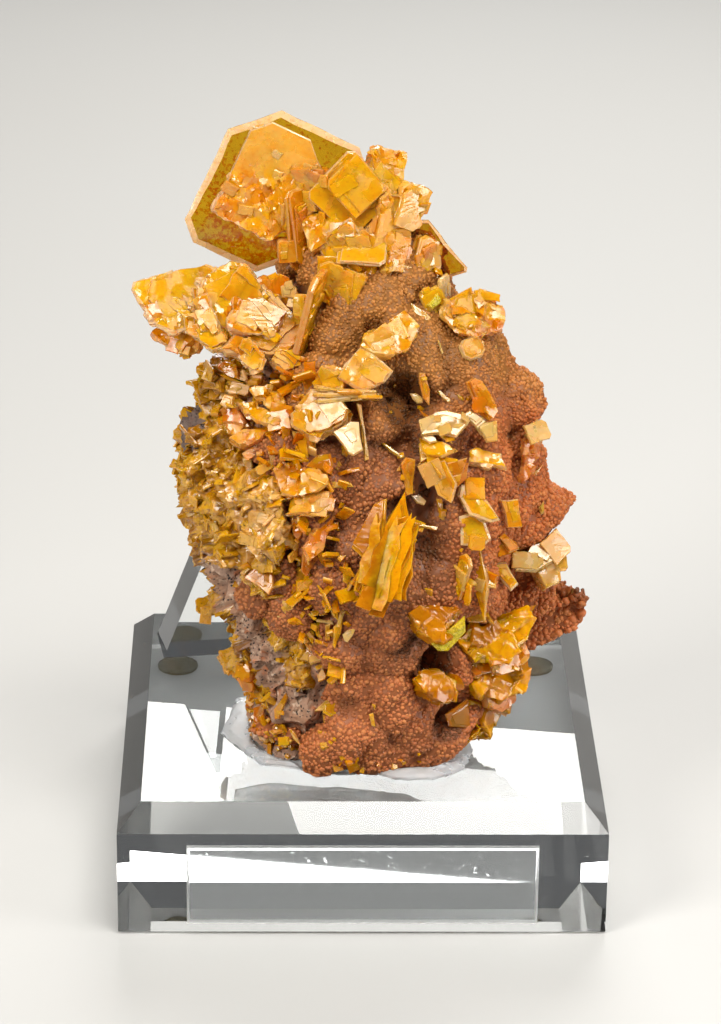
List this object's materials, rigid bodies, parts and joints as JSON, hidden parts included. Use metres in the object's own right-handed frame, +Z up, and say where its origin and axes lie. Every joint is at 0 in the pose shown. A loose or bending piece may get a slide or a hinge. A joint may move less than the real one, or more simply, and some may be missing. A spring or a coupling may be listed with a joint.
{
  "type": "mineral specimen",
  "caption": "Upright rock crusted with pinkish-brown botryoidal mimetite and flat honey-orange wulfenite crystals, set in putty on a square clear acrylic display stand with a prop.",
  "frame": {"origin": "centre of the object's footprint, on the table under the foot pads", "axes": "+Z up through the specimen, -Y out of the label plate and the crystals' display side, +X to the viewer's right"},
  "size_m": [0.0888, 0.09, 0.1407],
  "materials": {
    "acrylic": "clear polished acrylic",
    "pad": "clear soft plastic, slightly yellowed",
    "putty": "translucent mineral putty, satin",
    "rock": "rough broken rock, matt",
    "mimetite": "botryoidal crust, waxy",
    "wulfenite": "translucent tabular crystals, glossy"
  },
  "bodies": {
    "root": {"acrylic_base": "acrylic", "label_plate": "acrylic", "foot_disc_front_left": "pad", "foot_disc_rear_left": "pad", "foot_disc_front_right": "pad", "foot_disc_rear_right": "pad", "rear_prop": "acrylic", "putty_pad": "putty", "matrix_rock": "rock", "mimetite_crust": "mimetite", "mimetite_patch": "mimetite", "wulfenite_druse": "wulfenite", "wulfenite_crown": "wulfenite", "wulfenite_long_blade": "wulfenite", "wulfenite_wing": "wulfenite", "wulfenite_white_splinter": "wulfenite", "wulfenite_left": "wulfenite", "wulfenite_left_fragment": "wulfenite", "wulfenite_upper_centre": "wulfenite", "wulfenite_layered_cluster": "wulfenite", "wulfenite_mirror_plate": "wulfenite", "wulfenite_right_upper": "wulfenite", "wulfenite_right_disc": "wulfenite", "wulfenite_right_blade": "wulfenite", "wulfenite_cream_group": "wulfenite", "wulfenite_cream_chip": "wulfenite", "wulfenite_cream_square": "wulfenite", "wulfenite_yellow_shelf": "wulfenite", "wulfenite_yellow_bar": "wulfenite", "wulfenite_edge_cream": "wulfenite", "wulfenite_tan_plates": "wulfenite", "wulfenite_hooked_plate": "wulfenite", "wulfenite_square_plate": "wulfenite", "wulfenite_small_wedge": "wulfenite", "wulfenite_striated_blade": "wulfenite", "wulfenite_thin_blade": "wulfenite", "wulfenite_edged_plate": "wulfenite", "wulfenite_lobe_plates": "wulfenite", "wulfenite_lobe_block": "wulfenite", "wulfenite_lobe_triangle": "wulfenite", "wulfenite_centre_blades": "wulfenite", "wulfenite_peach_blade": "wulfenite", "wulfenite_orange_block": "wulfenite", "wulfenite_flank_ledge": "wulfenite", "wulfenite_flank_lenses": "wulfenite", "wulfenite_low_left": "wulfenite", "wulfenite_olive_crystal": "wulfenite", "wulfenite_amber_blocks": "wulfenite", "wulfenite_amber_cluster": "wulfenite"}
  },
  "joints": []
}
